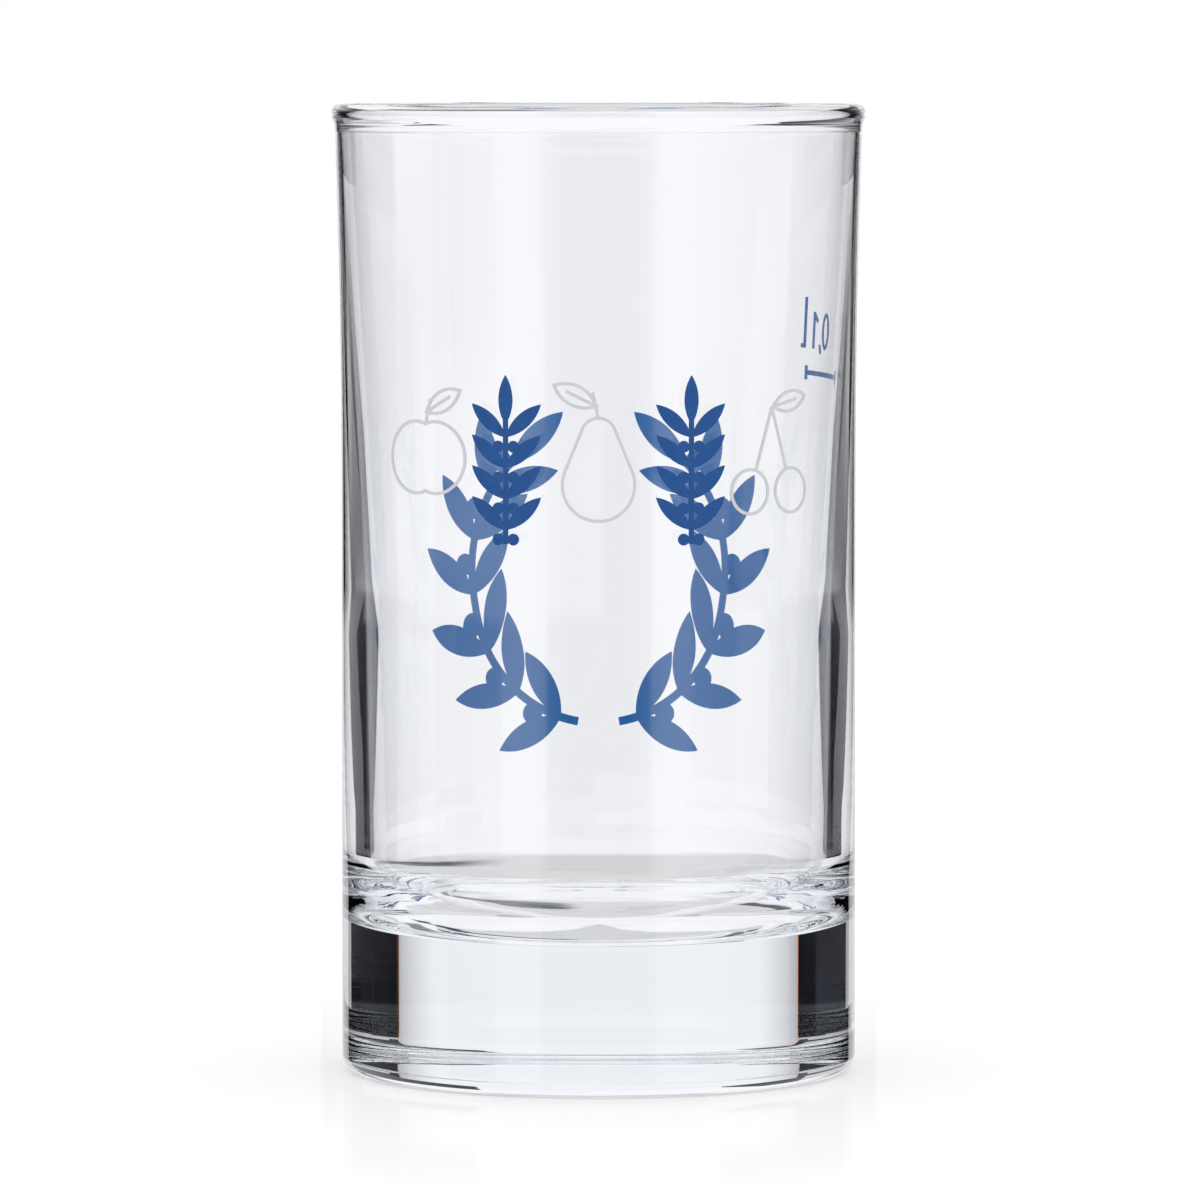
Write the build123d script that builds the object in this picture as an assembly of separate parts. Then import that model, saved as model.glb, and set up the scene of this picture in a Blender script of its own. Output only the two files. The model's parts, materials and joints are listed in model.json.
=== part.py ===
from build123d import *
import os
from math import acos, atan2, cos, degrees, hypot, pi, radians, sin

# A straight-sided juice glass with a thick base, standing on Z = 0 with its axis on Z.
# The front faces -Y. Sizes are in millimetres and angles in degrees.

# Tumbler
height = 100.0
body_radius = 26.6
flare_start = 60.0
lip_flare = 0.6
bead_height = 2.0
bead_bulge = 0.35
bead_inner_bulge = 0.6
bead_neck_radius = 2.0
lip_wall = 0.6
bend_wall = 2.45
bend_height = 48.0
bend_curve_radius = 150.0
base_wall = 3.0
floor_height = 14.7
floor_corner_radius = 8.5
foot_corner_radius = 1.8
foot_ring_width = 4.4
recess_depth = 0.9

# Fired enamel
enamel_thickness = 0.1

# Fruit outlines across the front, with a blue sprig in each space between them
frieze_level = 64.5
fruit_spacing_angle = 41.0
outline_width = 0.32
fruit_stalk_length = 2.8
apple_lobe_radius = 3.8
apple_lobe_offset = 1.3
pear_base_radius = 3.8
pear_neck_radius = 1.9
pear_length = 5.0
cherry_radius = 2.4
cherry_gap = 0.7
cherry_drop = 8.5
fruit_leaf_length = 5.2
fruit_leaf_width = 2.3
sprig_height = 17.0
sprig_stem_width = 0.55
sprig_leaf_length = 5.0
sprig_leaf_width = 1.5
sprig_leaf_pairs = 4
sprig_leaf_angle = 48.0
sprig_berry_radius = 0.6

# Open wreath on the back, one branch on each side
wreath_level = 49.0
wreath_radius = 15.5
wreath_facing_angle = 32.0
wreath_gap_angle = 20.0
branch_sweep_angle = 128.0
branch_stem_width = 0.9
branch_leaf_length = 8.2
branch_leaf_width = 2.7
branch_leaf_pairs = 6
branch_leaf_angle = 42.0
branch_berry_radius = 1.15

# Fill mark at the back right: a bar with end ticks, and the volume above it
fill_height = 71.0
fill_facing_angle = 110.0
fill_bar_length = 10.0
fill_bar_width = 0.5
fill_tick_height = 1.5
numeral_height = 3.9
numeral_width = 2.1
numeral_stroke = 0.45
numeral_pitch = 2.0
numeral_rise = 2.6
numeral_facing_angle = 114.0
litre_height = 5.4

lip_radius = body_radius + lip_flare
inner_lip_radius = lip_radius - lip_wall
inner_bend_radius = body_radius - bend_wall
inner_floor_radius = body_radius - base_wall
foot_ring_radius = body_radius - foot_corner_radius - foot_ring_width
bead_outer_radius = lip_radius + bead_bulge
bead_inner_radius = inner_lip_radius - bead_inner_bulge
bead_half_width = (bead_outer_radius - bead_inner_radius) / 2
bead_half_height = bead_height / 2
bead_centre = (bead_inner_radius + bead_half_width, height - bead_half_height)
bead_outer_turn = acos((lip_radius - bead_centre[0]) / bead_half_width)
bead_inner_turn = acos((bead_centre[0] - inner_lip_radius) / bead_half_width)
bead_bottom = bead_centre[1] - bead_half_height * sin(bead_outer_turn)
bead_inner_bottom = bead_centre[1] - bead_half_height * sin(bead_inner_turn)
UP = (0, 1)


def corner_of(face, x, y):
    """The corner of a flat outline that lies nearest to a point."""
    return face.vertices().sort_by_distance((x, y, 0))[0]


def round_corner(face, x, y, radius):
    return fillet(corner_of(face, x, y), radius)


def tumbler():
    """The glass itself: half of its section turned about the axis."""
    outline = [
        TangentArc((0, recess_depth), (foot_ring_radius, 0), tangent=(1, 0)),
        Line((foot_ring_radius, 0), (body_radius, 0)),
        Line((body_radius, 0), (body_radius, flare_start)),
        TangentArc((body_radius, flare_start), (lip_radius, bead_bottom), tangent=UP),
        EllipticalCenterArc(
            bead_centre,
            bead_half_width,
            bead_half_height,
            start_angle=-degrees(bead_outer_turn),
            arc_size=180 + degrees(bead_outer_turn + bead_inner_turn),
        ),
        Line((inner_lip_radius, bead_inner_bottom), (inner_bend_radius, bend_height)),
        Line((inner_bend_radius, bend_height), (inner_floor_radius, floor_height)),
        Line((inner_floor_radius, floor_height), (0, floor_height)),
        Line((0, floor_height), (0, recess_depth)),
    ]
    section = make_face(outline)
    section = round_corner(section, body_radius, 0, foot_corner_radius)
    section = round_corner(section, inner_floor_radius, floor_height, floor_corner_radius)
    section = round_corner(section, inner_bend_radius, bend_height, bend_curve_radius)
    section = round_corner(section, lip_radius, bead_bottom, bead_neck_radius)
    section = round_corner(section, inner_lip_radius, bead_inner_bottom, bead_neck_radius)
    return revolve(Plane.XZ * section, axis=Axis.Z)


def enamel_skin():
    """A thin skin on the outer wall, from the foot to the bead. The prints are cut from it."""
    rise = bead_bottom - bead_neck_radius - flare_start
    flare_radius = (lip_flare**2 + (bead_bottom - flare_start) ** 2) / (2 * lip_flare)
    lean = rise / flare_radius
    skin_radius = flare_radius - enamel_thickness
    skin_top_in = (body_radius + flare_radius * (1 - cos(lean)), flare_start + flare_radius * sin(lean))
    skin_top_out = (
        body_radius + flare_radius - skin_radius * cos(lean),
        flare_start + skin_radius * sin(lean),
    )
    skin_bottom = foot_corner_radius
    out_radius = body_radius + enamel_thickness
    outline = [
        Line((body_radius, skin_bottom), (body_radius, flare_start)),
        TangentArc((body_radius, flare_start), skin_top_in, tangent=UP),
        Line(skin_top_in, skin_top_out),
        TangentArc((out_radius, flare_start), skin_top_out, tangent=UP),
        Line((out_radius, flare_start), (out_radius, skin_bottom)),
        Line((out_radius, skin_bottom), (body_radius, skin_bottom)),
    ]
    return revolve(Plane.XZ * make_face(outline), axis=Axis.Z)


SKIN = enamel_skin()


def printed(motif, facing, level):
    """Lays a flat motif on the outer wall. Facing 0 is the front, 90 the right and 180 the back."""
    turn = radians(facing)
    wall_plane = Plane(
        origin=(0, 0, level),
        x_dir=(cos(turn), sin(turn), 0),
        z_dir=(sin(turn), -cos(turn), 0),
    )
    stamp = extrude(wall_plane * motif, amount=lip_radius + bead_bulge)
    return (SKIN & stamp).solids()


def placed(shape, x, y, angle=0):
    return Pos(x, y) * Rot(0, 0, angle) * shape


def leaf(length, width):
    """A pointed leaf that stands on the origin with its tip up."""
    right = ThreePointArc((0, 0), (width / 2, length / 2), (0, length))
    left = ThreePointArc((0, length), (-width / 2, length / 2), (0, 0))
    return make_face([right, left])


def leaf_outline():
    """A leaf drawn as a line, with its vein."""
    inset = outline_width * 1.6
    hole = leaf(fruit_leaf_length - 2 * inset, fruit_leaf_width - 2 * outline_width)
    vein_length = fruit_leaf_length * 0.7
    vein = placed(Rectangle(outline_width, vein_length), 0, vein_length / 2)
    return leaf(fruit_leaf_length, fruit_leaf_width) - placed(hole, 0, inset) + vein


def stalk(length, angle):
    """A straight stalk that starts at the origin. Angle 0 points up."""
    return placed(placed(Rectangle(outline_width, length), 0, length / 2), 0, 0, angle)


def apple_body(inset):
    """Two round lobes side by side, so that a dip lies between them."""
    lobe = Circle(apple_lobe_radius - inset)
    return placed(lobe, -apple_lobe_offset, 0) + placed(lobe, apple_lobe_offset, 0)


def pear_body(inset):
    """A wide round end and a narrow one, with straight sides between them."""
    wide = Circle(pear_base_radius - inset)
    narrow = placed(Circle(pear_neck_radius - inset), 0, pear_length)
    return make_hull(wide.edges() + narrow.edges())


def apple():
    dip = (apple_lobe_radius**2 - apple_lobe_offset**2) ** 0.5 - outline_width
    drawing = apple_body(0) - apple_body(outline_width)
    drawing = drawing + placed(stalk(fruit_stalk_length, -14), 0, dip)
    return drawing + placed(leaf_outline(), 0, dip + fruit_stalk_length * 0.45, -62)


def pear():
    top = pear_length + pear_neck_radius - outline_width
    drawing = pear_body(0) - pear_body(outline_width)
    drawing = drawing + placed(stalk(fruit_stalk_length, 12), 0, top)
    drawing = drawing + placed(leaf_outline(), 0, top + fruit_stalk_length * 0.45, 64)
    return placed(drawing, 0, -pear_length / 2)


def cherries():
    """Two cherries that hang from one point, with a leaf there."""
    top = cherry_drop * 0.6
    hang_x = cherry_radius + cherry_gap / 2
    stalk_length = hypot(hang_x, cherry_drop) - cherry_radius + outline_width
    tilt = degrees(atan2(hang_x, cherry_drop))
    drawing = placed(leaf_outline(), 0, top, -78)
    for side in (-1, 1):
        ring = Circle(cherry_radius) - Circle(cherry_radius - outline_width)
        drawing = drawing + placed(ring, side * hang_x, top - cherry_drop)
        drawing = drawing + placed(stalk(stalk_length, 180 + side * tilt), 0, top)
    return drawing


def sprig():
    """An upright twig: a stem, pairs of leaves, one leaf at the tip and berries on short stalks."""
    bottom = -sprig_height / 2
    stem_length = sprig_height - sprig_leaf_length * 0.8
    twig = placed(Rectangle(sprig_stem_width, stem_length), 0, bottom + stem_length / 2)
    twig = twig + placed(leaf(sprig_leaf_length, sprig_leaf_width), 0, bottom + sprig_height - sprig_leaf_length)
    pitch = (stem_length - sprig_stem_width) / sprig_leaf_pairs
    for pair in range(sprig_leaf_pairs):
        level = bottom + pitch * (pair + 0.45)
        for side in (-1, 1):
            blade = leaf(sprig_leaf_length, sprig_leaf_width)
            twig = twig + placed(blade, 0, level, side * sprig_leaf_angle)
            berry = Circle(sprig_berry_radius)
            berry_x = side * (sprig_berry_radius + sprig_stem_width * 0.4)
            twig = twig + placed(berry, berry_x, level - pitch * 0.30)
    return twig


def branch(side):
    """One side of the wreath: a bent stem with leaves on both sides and berries between them."""
    start = -90 + side * wreath_gap_angle / 2
    width = branch_stem_width / 2
    ring = Circle(wreath_radius + width) - Circle(wreath_radius - width)
    reach = wreath_radius * 2
    first = radians(start)
    last = radians(start + side * branch_sweep_angle)
    middle = radians(start + side * branch_sweep_angle / 2)
    wedge = make_face(
        Polyline(
            (0, 0),
            (reach * cos(first), reach * sin(first)),
            (reach * 2 * cos(middle), reach * 2 * sin(middle)),
            (reach * cos(last), reach * sin(last)),
            close=True,
        )
    )
    stem = ring & wedge
    pieces = stem
    step = branch_sweep_angle / branch_leaf_pairs
    for pair in range(branch_leaf_pairs):
        turn = start + side * step * (pair + 0.35)
        at = radians(turn)
        foot_x = wreath_radius * cos(at)
        foot_y = wreath_radius * sin(at)
        ahead = turn if side > 0 else turn + 180
        for lean in (-1, 1):
            blade = leaf(branch_leaf_length, branch_leaf_width)
            pieces = pieces + placed(blade, foot_x, foot_y, ahead + lean * branch_leaf_angle)
        between = radians(turn + side * step * 0.55)
        out = wreath_radius + branch_berry_radius * 0.8
        pieces = pieces + placed(Circle(branch_berry_radius), out * cos(between), out * sin(between))
    tip = radians(start + side * branch_sweep_angle)
    ahead = start + side * branch_sweep_angle + (0 if side > 0 else 180)
    tip_leaf = leaf(branch_leaf_length, branch_leaf_width)
    pieces = pieces + placed(tip_leaf, wreath_radius * cos(tip), wreath_radius * sin(tip), ahead)
    return placed(pieces, -side * wreath_radius * 0.5, 0)


def fill_bar():
    bar = Rectangle(fill_bar_length, fill_bar_width)
    tick = Rectangle(fill_bar_width, fill_tick_height)
    for side in (-1, 1):
        bar = bar + placed(tick, side * (fill_bar_length - fill_bar_width) / 2, 0)
    return bar


def volume_numerals():
    """The volume in litres, each sign drawn from plain shapes and standing on the line y = 0."""
    middle = numeral_height / 2
    zero_half_width = numeral_width / 2
    zero_hole = Ellipse(zero_half_width - numeral_stroke, middle - numeral_stroke)
    zero = placed(Ellipse(zero_half_width, middle) - zero_hole, 0, middle)
    comma = placed(Rectangle(numeral_stroke, numeral_stroke * 2.2), 0, 0, -20)
    flag_length = numeral_width * 0.6
    flag = placed(Rectangle(flag_length, numeral_stroke), -flag_length * 0.36, numeral_height - flag_length * 0.48, 42)
    one = placed(Rectangle(numeral_stroke, numeral_height), 0, middle) + flag
    foot = placed(Rectangle(numeral_width * 0.4, numeral_stroke), numeral_width * 0.14, numeral_stroke / 2)
    litre = placed(Rectangle(numeral_stroke, litre_height), 0, litre_height / 2) + foot
    signs = [(zero, -0.9), (comma, -0.15), (one, 0.75), (litre, 1.75)]
    return [placed(sign, numeral_pitch * place, 0) for sign, place in signs]


def cup_radius(level):
    """Radius of the inner wall at a level, without the round corner of the floor."""
    if level < bend_height:
        share = (level - floor_height) / (bend_height - floor_height)
        return inner_floor_radius + (inner_bend_radius - inner_floor_radius) * share
    share = (level - bend_height) / (bead_inner_bottom - bend_height)
    return inner_bend_radius + (inner_lip_radius - inner_bend_radius) * share


def cup_volume_below(level):
    """Millilitres that the inside holds up to a level, by thin discs."""
    slices = 2000
    step = (level - floor_height) / slices
    total = 0
    for n in range(slices):
        above_floor = step * (n + 0.5)
        radius = cup_radius(floor_height + above_floor)
        if above_floor < floor_corner_radius:
            drop = floor_corner_radius - above_floor
            radius -= floor_corner_radius - (floor_corner_radius**2 - drop**2) ** 0.5
        total += pi * radius**2 * step
    return total / 1000


def front_fruits():
    solids = printed(apple(), -fruit_spacing_angle, frieze_level)
    solids += printed(pear(), 0, frieze_level)
    solids += printed(cherries(), fruit_spacing_angle, frieze_level)
    return solids


def numerals_on_wall():
    solids = []
    for sign in volume_numerals():
        solids += printed(sign, numeral_facing_angle, fill_height + numeral_rise)
    return solids


nodes = {
    "glass_body": [tumbler()],
    "front_left_sprig": printed(sprig(), -fruit_spacing_angle / 2, frieze_level),
    "front_right_sprig": printed(sprig(), fruit_spacing_angle / 2, frieze_level),
    "front_fruit_outlines": front_fruits(),
    "back_left_branch": printed(branch(-1), 180 - wreath_facing_angle / 2, wreath_level),
    "back_right_branch": printed(branch(1), 180 + wreath_facing_angle / 2, wreath_level),
    "fill_line": printed(fill_bar(), fill_facing_angle, fill_height),
    "fill_volume_numerals": numerals_on_wall(),
}

os.makedirs("parts", exist_ok=True)
for name, solids in nodes.items():
    shape = solids[0] if len(solids) == 1 else Compound(children=list(solids))
    export_step(shape, f"parts/{name}.step")
    print(name, len(solids), "solids")
print("volume at the fill line, ml:", round(cup_volume_below(fill_height), 1))
print("volume at the rim, ml:", round(cup_volume_below(bead_inner_bottom), 1))
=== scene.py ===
import json
import math

import bpy
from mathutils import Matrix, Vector, noise


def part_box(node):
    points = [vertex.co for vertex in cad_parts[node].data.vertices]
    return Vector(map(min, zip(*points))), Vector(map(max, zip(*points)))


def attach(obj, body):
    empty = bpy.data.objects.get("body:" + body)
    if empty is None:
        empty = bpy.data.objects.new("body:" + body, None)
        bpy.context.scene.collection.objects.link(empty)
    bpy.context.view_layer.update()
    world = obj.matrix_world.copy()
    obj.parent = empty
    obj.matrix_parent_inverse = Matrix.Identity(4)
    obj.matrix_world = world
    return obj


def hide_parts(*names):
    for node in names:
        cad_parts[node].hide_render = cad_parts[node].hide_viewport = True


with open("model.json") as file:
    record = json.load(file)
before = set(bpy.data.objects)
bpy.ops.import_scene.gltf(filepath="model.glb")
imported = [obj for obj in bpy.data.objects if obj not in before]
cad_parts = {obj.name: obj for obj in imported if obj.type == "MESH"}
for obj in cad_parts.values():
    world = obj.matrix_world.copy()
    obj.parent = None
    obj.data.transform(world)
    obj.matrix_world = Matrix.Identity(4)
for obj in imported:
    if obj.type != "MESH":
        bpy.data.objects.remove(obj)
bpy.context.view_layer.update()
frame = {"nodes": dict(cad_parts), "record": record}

# Sizes are in millimetres up to the point where a mesh is made. The glass stands on Z = 0.
MM = 0.001

# Tumbler, on the same sizes as the solid it stands for
glass_low, glass_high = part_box("glass_body")
height = glass_high[2] / MM
bead_outer_radius = glass_high[0] / MM
bead_bulge = 0.35
bead_inner_bulge = 0.6
bead_half_height = 1.0
bead_neck_radius = 2.0
lip_flare = 0.6
lip_wall = 0.6
flare_start = 60.0
bend_wall = 2.45
bend_height = 48.0
bend_curve_radius = 150.0
base_wall = 3.0
floor_height = 14.7
floor_corner_radius = 8.5
foot_corner_radius = 1.8
foot_ring_width = 4.4
recess_depth = 0.9

# Radii and levels that follow from these sizes
lip_radius = bead_outer_radius - bead_bulge
body_radius = lip_radius - lip_flare
inner_lip_radius = lip_radius - lip_wall
inner_bend_radius = body_radius - bend_wall
inner_floor_radius = body_radius - base_wall
foot_ring_radius = body_radius - foot_corner_radius - foot_ring_width
bead_inner_radius = inner_lip_radius - bead_inner_bulge
bead_half_width = (bead_outer_radius - bead_inner_radius) / 2
bead_centre = (bead_inner_radius + bead_half_width, height - bead_half_height)
bead_outer_turn = math.acos((lip_radius - bead_centre[0]) / bead_half_width)
bead_inner_turn = math.acos((bead_centre[0] - inner_lip_radius) / bead_half_width)
bead_bottom = bead_centre[1] - bead_half_height * math.sin(bead_outer_turn)
bead_inner_bottom = bead_centre[1] - bead_half_height * math.sin(bead_inner_turn)

# Steps along the runs of the section, and around the axis
recess_steps = 40
ring_steps = 6
foot_steps = 20
outer_wall_steps = 150
neck_steps = 10
bead_steps = 24
upper_wall_steps = 120
bend_steps = 24
lower_wall_steps = 100
corner_steps = 80
floor_steps = 24
turn_steps = 384

# The run of wall below the bead that gives its lean, and the halvings that find the end of the neck
lean_run = 0.5
neck_halvings = 50

# A hair of air between the wall and the prints on it, so that they are lit through the glass
print_gap = 0.02
print_low = 29.0
print_high = 83.0
print_gap_fade = 8.0

# Slight waves that pressing left in the floor, its corner and the lowest part of the inner wall
relief_top = 25.5
relief_fade = 5.0
relief_calm_radius = 13.0
relief_calm_fade = floor_corner_radius / 2
relief_depth = 0.013
relief_floor_depth = 0.004
relief_length_along = 1.3
relief_length_around = 22.0
ripple_share = 0.5
ripple_pitch = 2.1

# Stipple under the foot
pebble_depth = 0.006
pebble_length = 1.1
pebble_top = recess_depth * 0.75
pebble_fade = recess_depth * 0.3

# Dark boards beside the glass: half the gap between them at the glass, and how fast they part behind it
flag_gap = 87.0
flag_spread = 0.158
flag_height = 115.0

# Cards behind the base: how far back they stand, half their width, and their levels
base_card_behind = 70.0
base_card_half_width = 31.0
base_card_low = -10.0
base_card_high = 16.0
corner_card_behind = 29.5
corner_card_half_width = 26.0
corner_card_high = 26.0
skirt_high = 14.5
skirt_low = 3.0
skirt_inner_edge = 5.5

# How often light may bounce, and the most faces of glass it may cross on its way to a card
light_bounces = 24
card_crossings = 3

# Floor, in metres, and the share of a mirror image in it
floor_reach = 3.0
floor_mirror = 0.10

# Camera, as the photo was taken
camera_distance = 880.0
camera_height = 106.1
camera_tilt = 0.06509
camera_side = 0.15
camera_lens = 255.6


def straight(start, end, steps):
    """Points from start towards end, without the end."""
    return [
        (start[0] + (end[0] - start[0]) * n / steps, start[1] + (end[1] - start[1]) * n / steps)
        for n in range(steps)
    ]


def arc(centre, radius, start, end, steps):
    """Points on an arc between two angles in degrees, with both ends."""
    points = []
    for n in range(steps + 1):
        angle = math.radians(start + (end - start) * n / steps)
        points.append((centre[0] + radius * math.cos(angle), centre[1] + radius * math.sin(angle)))
    return points


def unit(start, end):
    """The direction from start to end."""
    length = math.dist(start, end)
    return ((end[0] - start[0]) / length, (end[1] - start[1]) / length)


def bearing(start, end):
    """The angle in degrees of the direction from start to end."""
    return math.degrees(math.atan2(end[1] - start[1], end[0] - start[0]))


def short_way(start, end):
    """Degrees from one angle to another, the short way round."""
    return (end - start + 180) % 360 - 180


def rounded(before, corner, after, radius, steps):
    """Points on an arc that rounds the corner between two straight runs."""
    back = unit(corner, before)
    on = unit(corner, after)
    half = math.acos(back[0] * on[0] + back[1] * on[1]) / 2
    reach = radius / math.tan(half)
    middle = unit((0, 0), (back[0] + on[0], back[1] + on[1]))
    depth = radius / math.sin(half)
    centre = (corner[0] + middle[0] * depth, corner[1] + middle[1] * depth)
    first = (corner[0] + back[0] * reach, corner[1] + back[1] * reach)
    last = (corner[0] + on[0] * reach, corner[1] + on[1] * reach)
    start = bearing(centre, first)
    sweep = short_way(start, bearing(centre, last))
    return arc(centre, radius, start, start + sweep, steps)


def flare(level):
    """Radius of the outer wall at a level."""
    rise = bead_bottom - flare_start
    radius = (lip_flare**2 + rise**2) / (2 * lip_flare)
    climb = max(0.0, level - flare_start)
    clear_of_prints = max(print_low - level, level - print_high, 0.0) / print_gap_fade
    gap = print_gap * max(0.0, 1 - clear_of_prints)
    return body_radius + radius - math.sqrt(radius**2 - climb**2) - gap


def bead_point(turn):
    """A point on the oval section of the bead. Turn 0 is its outermost point."""
    across = bead_half_width * math.cos(turn)
    return (bead_centre[0] + across, bead_centre[1] + bead_half_height * math.sin(turn))


def bead_normal(turn):
    """The direction straight out of the bead at a point."""
    return unit((0, 0), (math.cos(turn) / bead_half_width, math.sin(turn) / bead_half_height))


def neck(wall_top, out, near, far):
    """A hollow curve from a straight wall to the bead, and the turn at which it ends on the bead."""
    for _ in range(neck_halvings):
        turn = (near + far) / 2
        point = bead_point(turn)
        normal = bead_normal(turn)
        centre = (point[0] + bead_neck_radius * normal[0], point[1] + bead_neck_radius * normal[1])
        off_wall = (centre[0] - wall_top[0]) * out[0] + (centre[1] - wall_top[1]) * out[1]
        if off_wall < bead_neck_radius:
            near = turn
        else:
            far = turn
    start = bearing(out, (0, 0))
    sweep = short_way(start, bearing(normal, (0, 0)))
    return arc(centre, bead_neck_radius, start, start + sweep, neck_steps), turn


def outer_side():
    """Half of the section from the middle of the underside to the top of the rim."""
    dome = (foot_ring_radius**2 + recess_depth**2) / (2 * recess_depth)
    points = []
    for n in range(recess_steps):
        radius = foot_ring_radius * n / recess_steps
        points.append((radius, recess_depth - dome + math.sqrt(dome**2 - radius**2)))
    foot_end = (body_radius - foot_corner_radius, 0)
    points += straight((foot_ring_radius, 0), foot_end, ring_steps)
    points += arc((foot_end[0], foot_corner_radius), foot_corner_radius, -90, 0, foot_steps)
    below = bead_bottom - lean_run
    along = unit((flare(below), below), (lip_radius, bead_bottom))
    hollow, turn = neck((lip_radius, bead_bottom), (along[1], -along[0]), -bead_outer_turn, 0.0)
    rise = hollow[0][1] - foot_corner_radius
    levels = [foot_corner_radius + rise * n / outer_wall_steps for n in range(1, outer_wall_steps)]
    points += [(flare(level), level) for level in levels] + hollow
    to_top = math.pi / 2 - turn
    points += [bead_point(turn + to_top * n / bead_steps) for n in range(1, bead_steps + 1)]
    return points


def inner_side():
    """Half of the section from the rim down the inside to the middle of the floor."""
    top = (inner_lip_radius, bead_inner_bottom)
    corner = (inner_floor_radius, floor_height)
    bend = (inner_bend_radius, bend_height)
    middle = (0, floor_height)
    curve = rounded(top, bend, corner, bend_curve_radius, bend_steps)
    floor_curve = rounded(bend, corner, middle, floor_corner_radius, corner_steps)
    along = unit(bend, top)
    hollow, turn = neck(top, (-along[1], along[0]), math.pi + bead_inner_turn, math.pi)
    from_top = turn - math.pi / 2
    bead = [bead_point(math.pi / 2 + from_top * n / bead_steps) for n in range(1, bead_steps)]
    wall = hollow[::-1] + straight(hollow[0], curve[0], upper_wall_steps)[1:] + curve
    wall += straight(curve[-1], floor_curve[0], lower_wall_steps)[1:] + floor_curve
    floor_line = straight(floor_curve[-1], middle, floor_steps)[1:] + [middle]
    return bead + wall + floor_line


def relief(run, radius, level, angle):
    """How far the inner face is pushed along its normal at a place."""
    if level > relief_top:
        return 0.0
    fade = min(1.0, (relief_top - level) / relief_fade)
    calm = min(1.0, max(0.0, (radius - relief_calm_radius) / relief_calm_fade))
    depth = fade * (relief_floor_depth + (relief_depth - relief_floor_depth) * calm)
    around = body_radius / relief_length_around
    place = Vector((math.cos(angle) * around, math.sin(angle) * around, run / relief_length_along))
    return depth * (noise.noise(place) + ripple_share * noise.noise(place * ripple_pitch))


def pebbles(radius, level, angle):
    """How far the ring that the glass stands on, and the rim of its hollow, are pushed up at a place."""
    if level > pebble_top or radius > body_radius - foot_corner_radius:
        return 0.0
    fade = min(1.0, (pebble_top - level) / pebble_fade)
    place = Vector((radius * math.cos(angle), radius * math.sin(angle), 0.0)) / pebble_length
    return fade * pebble_depth * (1 + noise.noise(place))


def turned(name, outer, inner):
    """A closed mesh from a section turned about Z. Its first and last points lie on the axis."""
    profile = outer + inner
    vertices = [(0, 0, profile[0][1] * MM)]
    run = 0.0
    for n in range(1, len(profile) - 1):
        radius, level = profile[n]
        run += math.dist(profile[n - 1], profile[n])
        ahead = unit(profile[n - 1], profile[n + 1])
        for step in range(turn_steps):
            angle = 2 * math.pi * step / turn_steps
            if n >= len(outer):
                push = relief(run, radius, level, angle)
            else:
                push = -pebbles(radius, level, angle)
            reach = (radius + ahead[1] * push) * MM
            rise = (level - ahead[0] * push) * MM
            vertices.append((reach * math.cos(angle), reach * math.sin(angle), rise))
    vertices.append((0, 0, profile[-1][1] * MM))
    faces = []
    rings = len(profile) - 2
    for step in range(turn_steps):
        ahead = (step + 1) % turn_steps
        faces.append((0, 1 + ahead, 1 + step))
        for ring in range(rings - 1):
            low = 1 + ring * turn_steps
            high = low + turn_steps
            faces.append((low + step, low + ahead, high + ahead, high + step))
        last = 1 + (rings - 1) * turn_steps
        faces.append((last + step, last + ahead, len(vertices) - 1))
    mesh = bpy.data.meshes.new(name)
    mesh.from_pydata(vertices, [], faces)
    mesh.validate()
    mesh.shade_smooth()
    piece = bpy.data.objects.new(name, mesh)
    bpy.context.scene.collection.objects.link(piece)
    return piece


class Nodes:
    """Short ways to add nodes to a tree and to link them."""

    def __init__(self, tree):
        self.tree = tree
        tree.nodes.clear()

    def add(self, kind, inputs=(), **settings):
        node = self.tree.nodes.new(kind)
        for name, value in settings.items():
            setattr(node, name, value)
        for key, value in dict(inputs).items():
            self.put(node.inputs[key], value)
        return node

    def put(self, socket, value):
        if isinstance(value, bpy.types.NodeSocket):
            self.tree.links.new(value, socket)
        else:
            socket.default_value = value

    def math(self, operation, *values):
        node = self.add("ShaderNodeMath", operation=operation)
        for socket, value in zip(node.inputs, values):
            self.put(socket, value)
        return node.outputs[0]

    def ease(self, value, start, end):
        """A smooth step from 0 to 1 as a value goes from start to end."""
        limits = {"Value": value, "From Min": start, "From Max": end}
        return self.add("ShaderNodeMapRange", limits, interpolation_type="SMOOTHSTEP").outputs[0]

    def mix(self, share, first, second):
        """A blend of two colours."""
        node = self.add("ShaderNodeMix", data_type="RGBA")
        self.put(node.inputs[0], share)
        self.put(node.inputs[6], first)
        self.put(node.inputs[7], second)
        return node.outputs[2]

    def ramp(self, value, stops):
        """A colour that changes along a value between 0 and 1."""
        node = self.add("ShaderNodeValToRGB", {"Fac": value})
        ladder = node.color_ramp.elements
        while len(ladder) < len(stops):
            ladder.new(0.5)
        for rung, (place, colour) in zip(ladder, stops):
            rung.position = place
        for rung, (place, colour) in zip(ladder, stops):
            rung.color = colour
        return node.outputs[0]


def grey(level, blue=0.0):
    """A grey, leaning to blue."""
    return (level * (1 - blue), level * (1 - blue * 0.8), level, 1.0)


studio_white = grey(1.0, 0.04)
table_grey = grey(0.70, 0.02)
flag_slate = grey(0.055, 0.25)
flag_black = grey(0.012, 0.3)


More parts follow.
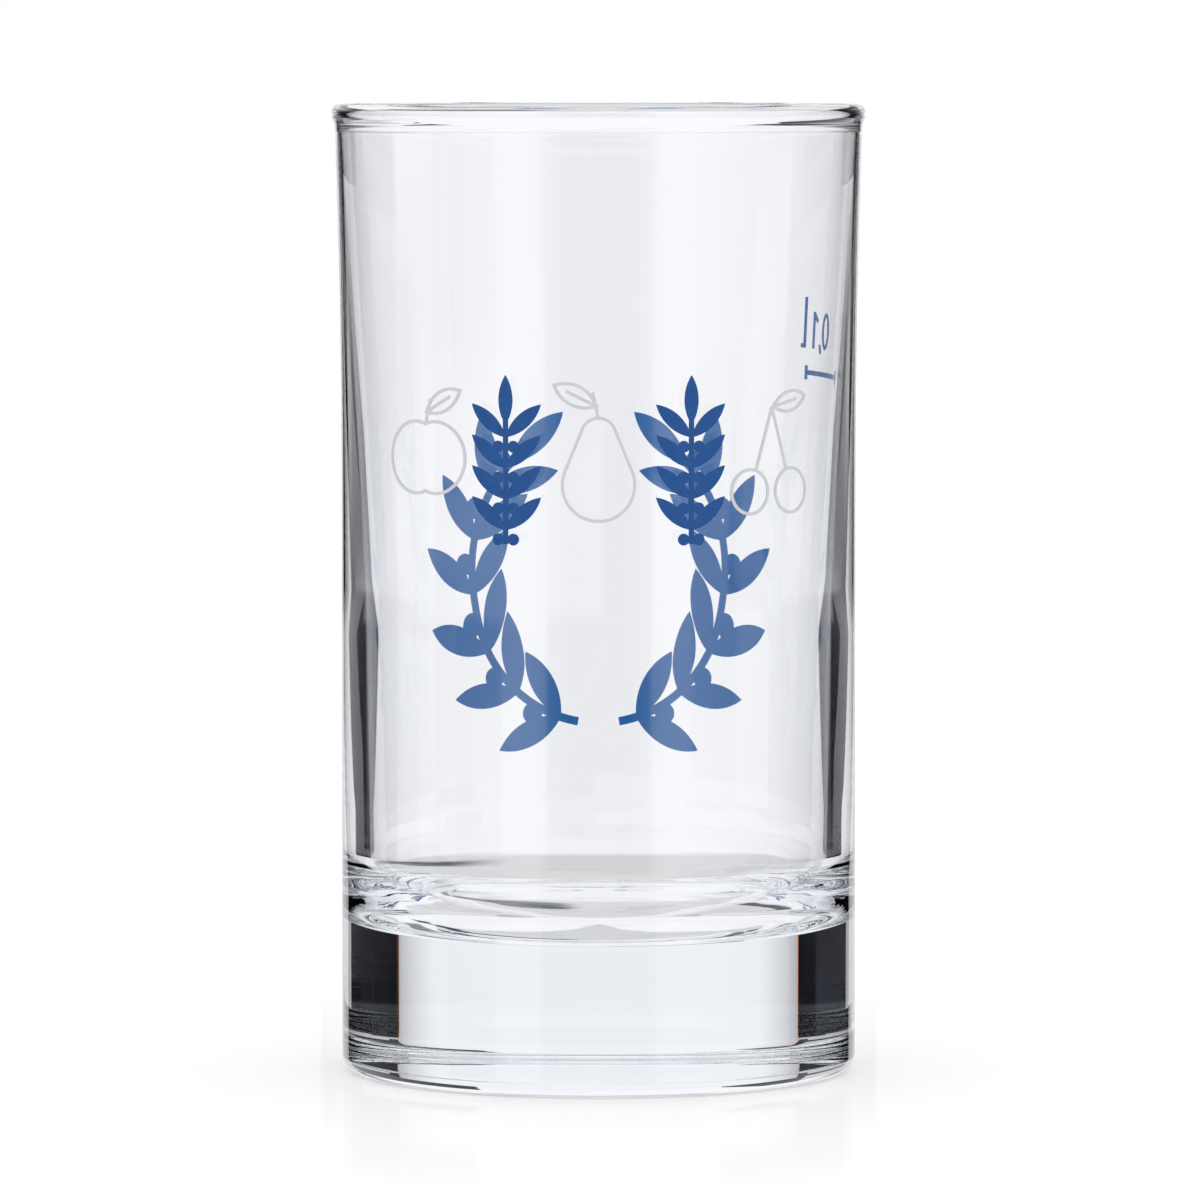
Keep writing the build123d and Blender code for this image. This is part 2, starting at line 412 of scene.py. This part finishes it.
def glass_material():
    """Clear glass with faint upright waves and a trace of blue in its depth."""
    material = bpy.data.materials.new("clear_glass_look")
    material.use_nodes = True
    nodes = Nodes(material.node_tree)
    place = nodes.add("ShaderNodeTexCoord").outputs["Object"]
    streaks = nodes.add("ShaderNodeMapping", {"Vector": place, "Scale": (90.0, 90.0, 9.0)}).outputs[0]
    ripple = nodes.add("ShaderNodeTexNoise", {"Vector": streaks, "Scale": 1.0, "Detail": 1.0}).outputs[0]
    soft = nodes.add("ShaderNodeBump", {"Strength": 0.01, "Distance": 0.001, "Height": ripple})
    shader = nodes.add("ShaderNodeBsdfPrincipled", {
        "Base Color": (1.0, 1.0, 1.0, 1.0),
        "Transmission Weight": 1.0,
        "Roughness": 0.0,
        "IOR": 1.52,
        "Normal": soft.outputs[0],
    })
    depth = nodes.add("ShaderNodeVolumeAbsorption", {"Color": (0.86, 0.91, 0.97, 1.0), "Density": 4.0})
    nodes.add("ShaderNodeOutputMaterial", {"Surface": shader.outputs[0], "Volume": depth.outputs[0]})
    return material


def enamel_material(name, colour, worn, through):
    """Fired ink: even colour with a fine grain and a satin gloss. The face that lies on the glass takes
    the brighter through colour, which is painted light standing in for light that passes the ink from
    behind."""
    material = bpy.data.materials.new(name)
    material.use_nodes = True
    nodes = Nodes(material.node_tree)
    place = nodes.add("ShaderNodeTexCoord").outputs["Object"]
    grain = nodes.add("ShaderNodeTexNoise", {"Vector": place, "Scale": 900.0, "Detail": 3.0}).outputs[0]
    outside = nodes.ramp(grain, [(0.3, colour), (0.75, worn)])
    normal = nodes.add("ShaderNodeNewGeometry").outputs["Normal"]
    facing = nodes.add("ShaderNodeVectorMath", {0: normal, 1: place}, operation="DOT_PRODUCT")
    # Painted light: faces that lie on the glass take the brighter through colour in place of light from
    # behind
    painted_backlight_faces = nodes.math("LESS_THAN", facing.outputs["Value"], -body_radius * MM * 0.5)
    shade = nodes.mix(painted_backlight_faces, outside, through)
    bump = nodes.add("ShaderNodeBump", {"Strength": 0.15, "Distance": 0.0001, "Height": grain})
    shader = nodes.add("ShaderNodeBsdfPrincipled", {
        "Base Color": shade,
        "Roughness": 0.38,
        "Specular IOR Level": 0.2,
        "Normal": bump.outputs[0],
    })
    nodes.add("ShaderNodeOutputMaterial", {"Surface": shader.outputs[0]})
    return material


glass = turned("glass_body_turned", outer_side(), inner_side())
glass.data.materials.append(glass_material())
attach(glass, "root")
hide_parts("glass_body")

# The through colours are painted light: brighter base colours for the faces on the glass, standing in for
# light that passes the ink from behind
inks = {
    "blue_enamel": enamel_material(
        "blue_enamel_look",
        colour=(0.016, 0.085, 0.29, 1.0),
        worn=(0.022, 0.10, 0.33, 1.0),
        through=(0.0, 0.29, 0.92, 1.0),
    ),
    "pale_enamel": enamel_material(
        "pale_enamel_look",
        colour=(0.66, 0.67, 0.70, 1.0),
        worn=(0.72, 0.73, 0.76, 1.0),
        through=(0.85, 0.86, 0.88, 1.0),
    ),
}
for row in frame["record"]["subparts"]:
    if row["material_slot"] in inks:
        frame["nodes"][row["node"]].data.materials[0] = inks[row["material_slot"]]


class Sky:
    """The direction that a ray of light comes from, in degrees, with tests of where it lies."""

    soft_edge = 1.0
    no_inner_edge = -5.0

    def __init__(self, nodes):
        self.nodes = nodes
        direction = nodes.add("ShaderNodeTexCoord").outputs["Generated"]
        x, y, z = nodes.add("ShaderNodeSeparateXYZ", {"Vector": direction}).outputs
        self.turn = nodes.math("MULTIPLY", nodes.math("ARCTAN2", x, y), 180 / math.pi)
        self.lift = nodes.math("MULTIPLY", nodes.math("ARCSINE", z), 180 / math.pi)

    def off(self, facing):
        """Degrees to the side of a facing, on either hand. Facing 0 is straight behind the glass."""
        aside = self.nodes.math("ABSOLUTE", self.nodes.math("SUBTRACT", self.turn, facing))
        return self.nodes.math("MINIMUM", aside, self.nodes.math("SUBTRACT", 360.0, aside))

    def between(self, value, low, high):
        """1 where a value lies between two limits, with soft edges."""
        rise = self.nodes.ease(value, low - self.soft_edge, low + self.soft_edge)
        fall = self.nodes.ease(value, high + self.soft_edge, high - self.soft_edge)
        return self.nodes.math("MULTIPLY", rise, fall)

    def patch(self, facing, near, far, low, high):
        """Two patches of sky on either hand of a facing, between two heights."""
        level = self.between(self.lift, low, high)
        return self.nodes.math("MULTIPLY", self.between(self.off(facing), near, far), level)

    def window(self, facing, half_width, low, high):
        """One patch of sky about a facing."""
        return self.patch(facing, self.no_inner_edge, half_width, low, high)


def high_flag(nodes, sky, aside):
    """Where the dark flag above the table stands. It leaves the middle open, wider with height, and an
    opening on the left."""
    edge = nodes.math("MINIMUM", nodes.math("MULTIPLY_ADD", sky.lift, 1.3, 9.0), 20.0)
    past_edge = nodes.ease(nodes.math("SUBTRACT", aside, edge), -0.4, 0.4)
    closed = nodes.math("SUBTRACT", 1.0, sky.window(-45.0, 34.0, 9.0, 42.0))
    share = nodes.math("MULTIPLY", past_edge, closed)
    share = nodes.math("MULTIPLY", share, nodes.ease(aside, 82.0, 79.0))
    return nodes.math("MULTIPLY", share, sky.between(sky.lift, 4.0, 60.0))


def studio():
    """A white studio with dark flags at set directions, which only glass and gloss see."""
    world = bpy.data.worlds.new("studio")
    bpy.context.scene.world = world
    world.use_nodes = True
    nodes = Nodes(world.node_tree)
    sky = Sky(nodes)
    aside = sky.off(0.0)
    around = nodes.ramp(nodes.math("DIVIDE", aside, 180), [
        (0.30, grey(0.60, 0.03)),
        (0.40, grey(0.50, 0.03)),
        (0.52, grey(0.38, 0.05)),
        (0.62, grey(0.58, 0.05)),
        (0.72, grey(0.76, 0.03)),
        (0.78, grey(0.86, 0.03)),
        (0.83, grey(0.84, 0.03)),
        (0.87, grey(0.58, 0.05)),
        (0.92, grey(0.20, 0.10)),
        (1.0, grey(0.16, 0.10)),
    ])
    table_low = nodes.ease(sky.lift, -17.0, -20.0)
    table_share = nodes.math("MULTIPLY", table_low, nodes.ease(aside, 24.0, 20.0))
    colour = nodes.mix(table_share, studio_white, table_grey)
    beside = nodes.math("MULTIPLY", nodes.ease(aside, 33.0, 36.0), sky.between(sky.lift, -9.0, 22.0))
    colour = nodes.mix(beside, colour, around)
    # Black patches for the sides of the base: where they start and end off straight behind, and their tops
    for near, far, high in ((27.0, 52.0, -3.4), (51.0, 85.0, -5.0), (155.0, 190.0, -5.3)):
        colour = nodes.mix(sky.patch(0.0, near, far, -10.5, high), colour, flag_black)
    colour = nodes.mix(sky.window(-90.0, 12.0, -6.5, 1.5), colour, studio_white)
    # Slate patches that do the same from other sides: the facing, and their lower and upper edges
    for facing, low, high in ((-45.0, -29.5, -21.5), (135.0, -19.5, -10.0), (-90.0, -9.5, -6.0)):
        colour = nodes.mix(sky.patch(facing, 19.0, 43.0, low, high), colour, flag_slate)
    colour = nodes.mix(high_flag(nodes, sky, aside), colour, flag_black)
    ray = nodes.add("ShaderNodeLightPath").outputs
    seen_in_glass = nodes.math("MAXIMUM", ray["Is Glossy Ray"], ray["Is Transmission Ray"])
    unlit = nodes.math("LESS_THAN", ray["Diffuse Depth"], 0.5)
    colour = nodes.mix(nodes.math("MULTIPLY", seen_in_glass, unlit), grey(1.0), colour)
    light = nodes.add("ShaderNodeBackground", {"Color": colour, "Strength": 1.0})
    nodes.add("ShaderNodeOutputWorld", {"Surface": light.outputs[0]})


def board(name, vertices, colour_of, crossings):
    """Upright boards of four corners each, hidden from the camera and from matt surfaces. They show only
    where light crossed no more faces of glass than the crossings."""
    mesh = bpy.data.meshes.new(name)
    corners = [(x * MM, y * MM, z * MM) for x, y, z in vertices]
    mesh.from_pydata(corners, [], [range(n, n + 4) for n in range(0, len(corners), 4)])
    material = bpy.data.materials.new(name)
    material.use_nodes = True
    nodes = Nodes(material.node_tree)
    light = nodes.add("ShaderNodeEmission", {"Color": colour_of(nodes), "Strength": 1.0})
    clear = nodes.add("ShaderNodeBsdfTransparent")
    crossed = nodes.add("ShaderNodeLightPath").outputs["Transmission Depth"]
    beyond = nodes.math("GREATER_THAN", crossed, crossings + 0.5)
    seen = nodes.add("ShaderNodeMixShader", {"Fac": beyond, 1: light.outputs[0], 2: clear.outputs[0]})
    nodes.add("ShaderNodeOutputMaterial", {"Surface": seen.outputs[0]})
    mesh.materials.append(material)
    piece = bpy.data.objects.new(name, mesh)
    bpy.context.scene.collection.objects.link(piece)
    piece.visible_camera = False
    piece.visible_diffuse = False
    piece.visible_shadow = False


def card(name, behind, inner_edge, half_width, low, high, stops):
    """An upright card behind the glass, in two halves from an inner edge outwards. Its colour changes from
    middle to side."""
    def colour_of(nodes):
        place = nodes.add("ShaderNodeTexCoord").outputs["Object"]
        x = nodes.add("ShaderNodeSeparateXYZ", {"Vector": place}).outputs[0]
        across = nodes.math("DIVIDE", nodes.math("ABSOLUTE", x), half_width * MM)
        return nodes.ramp(across, stops)

    vertices = []
    for hand in (-1, 1):
        for x, z in ((inner_edge, low), (half_width, low), (half_width, high), (inner_edge, high)):
            vertices.append((hand * x, behind, z))
    board(name, vertices, colour_of, card_crossings)


def even(colour):
    """The stops of a card of one colour."""
    return [(0.0, colour), (1.0, colour)]


def cards():
    """A card far back for the thick base. Close behind the wall, a white one for the corner of the floor,
    and a grey one below it."""
    card("base_card", base_card_behind, 0.0, base_card_half_width, base_card_low, base_card_high, [
        (0.0, grey(0.98, 0.05)),
        (0.60, grey(0.97, 0.05)),
        (0.80, grey(0.76, 0.06)),
        (0.95, grey(0.58, 0.07)),
        (0.988, grey(0.50, 0.07)),
        # Painted light: the orange at the outer edge of this card draws a thin orange fringe at the inner
        # edges of the dark sides of the base
        (0.992, (0.75, 0.25, 0.06, 1.0)),
        (1.0, (0.45, 0.12, 0.03, 1.0)),
    ])
    close = (corner_card_behind, 0.0, corner_card_half_width)
    card("corner_card", *close, skirt_high, corner_card_high, even(studio_white))
    close = (corner_card_behind, skirt_inner_edge, corner_card_half_width)
    card("corner_skirt", *close, skirt_low, skirt_high, even(table_grey))


def flags():
    """Dark boards back on both sides, which draw the edges of the wall and of the rim. The near ones hang
    high, and the far ones reach down."""
    vertices = []
    for near, far, low in ((57.0, 150.0, 88.0), (150.0, 480.0, 2.0)):
        for hand in (-1, 1):
            for y, z in ((near, low), (far, low), (far, flag_height), (near, flag_height)):
                vertices.append((hand * (flag_gap + flag_spread * y), y, z))
    board("flags", vertices, lambda nodes: flag_black, light_bounces)


def floor_material():
    """White to the camera, with the shade of the glass and a faint mirror image in it."""
    material = bpy.data.materials.new("white_floor")
    material.use_nodes = True
    nodes = Nodes(material.node_tree)
    ray = nodes.add("ShaderNodeLightPath")
    matt = nodes.add("ShaderNodeBsdfDiffuse", {"Color": grey(0.80)})
    glow = nodes.add("ShaderNodeEmission", {"Color": grey(1.0), "Strength": 0.30})
    lit = nodes.add("ShaderNodeAddShader", {0: matt.outputs[0], 1: glow.outputs[0]})
    gloss = nodes.add("ShaderNodeBsdfGlossy", {"Color": grey(1.0), "Roughness": 0.08})
    top = nodes.add("ShaderNodeMixShader", {"Fac": floor_mirror, 1: lit.outputs[0], 2: gloss.outputs[0]})
    plain = nodes.add("ShaderNodeMixShader", {
        "Fac": ray.outputs["Is Camera Ray"],
        1: matt.outputs[0],
        2: top.outputs[0],
    })
    nodes.add("ShaderNodeOutputMaterial", {"Surface": plain.outputs[0]})
    return material


def floor():
    """A wide white floor, which the glass does not see."""
    corners = [(-1, -1), (1, -1), (1, 1), (-1, 1)]
    mesh = bpy.data.meshes.new("floor")
    mesh.from_pydata([(x * floor_reach, y * floor_reach, 0) for x, y in corners], [], [(0, 1, 2, 3)])
    mesh.materials.append(floor_material())
    ground = bpy.data.objects.new("floor", mesh)
    bpy.context.scene.collection.objects.link(ground)
    ground.visible_transmission = False
    ground.visible_glossy = False


def camera():
    """The camera, a little above the rim and tilted slightly down."""
    lens = bpy.data.cameras.new("camera")
    lens.lens = camera_lens
    lens.clip_start = 0.01
    lens.clip_end = 20.0
    stand = bpy.data.objects.new("camera", lens)
    stand.location = (camera_side * MM, -camera_distance * MM, camera_height * MM)
    stand.rotation_euler = (math.pi / 2 - camera_tilt, 0, 0)
    bpy.context.scene.collection.objects.link(stand)
    bpy.context.scene.camera = stand


studio()
cards()
flags()
floor()
camera()
scene = bpy.context.scene
scene.view_settings.view_transform = "Standard"
scene.cycles.max_bounces = light_bounces
scene.cycles.transmission_bounces = light_bounces
scene.cycles.glossy_bounces = light_bounces
